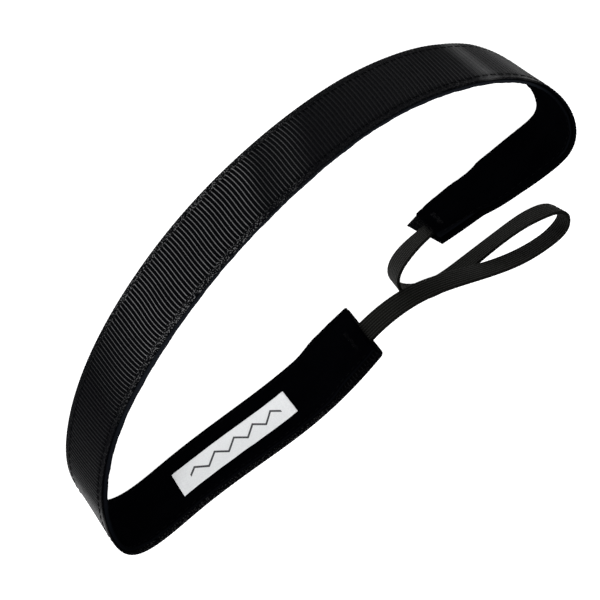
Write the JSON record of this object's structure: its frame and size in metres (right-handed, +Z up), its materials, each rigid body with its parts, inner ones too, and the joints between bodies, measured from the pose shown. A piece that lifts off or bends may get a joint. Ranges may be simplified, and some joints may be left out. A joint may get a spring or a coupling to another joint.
{
  "type": "sports headband",
  "caption": "Grosgrain sports headband with a velvet grip lining, stitched edges, a plain woven label and a narrow braided elastic that closes the back.",
  "frame": {"origin": "centre of the bounding box, on the surface that the band stands on", "axes": "+Z up across the band's width, +X along the long way of the loop towards the turn beside the label, -Y towards the crown's outer face"},
  "size_m": [0.1757, 0.0955, 0.0254],
  "materials": {
    "ribbon": "satin ribbed weave",
    "velvet": "short dense pile",
    "label": "matte damask weave",
    "elastic": "matte braid",
    "rubber": "matte",
    "thread": "satin thread"
  },
  "bodies": {
    "root": {"grosgrain_ribbon": "ribbon", "velvet_lining": "velvet", "woven_label": "label", "elastic_braid": "elastic", "elastic_rubber_core": "rubber", "upper_seam_needle_thread": "thread", "upper_seam_bobbin_thread": "thread", "lower_seam_needle_thread": "thread", "lower_seam_bobbin_thread": "thread", "end_a_tack_thread": "thread", "end_b_tack_thread": "thread"}
  },
  "joints": []
}
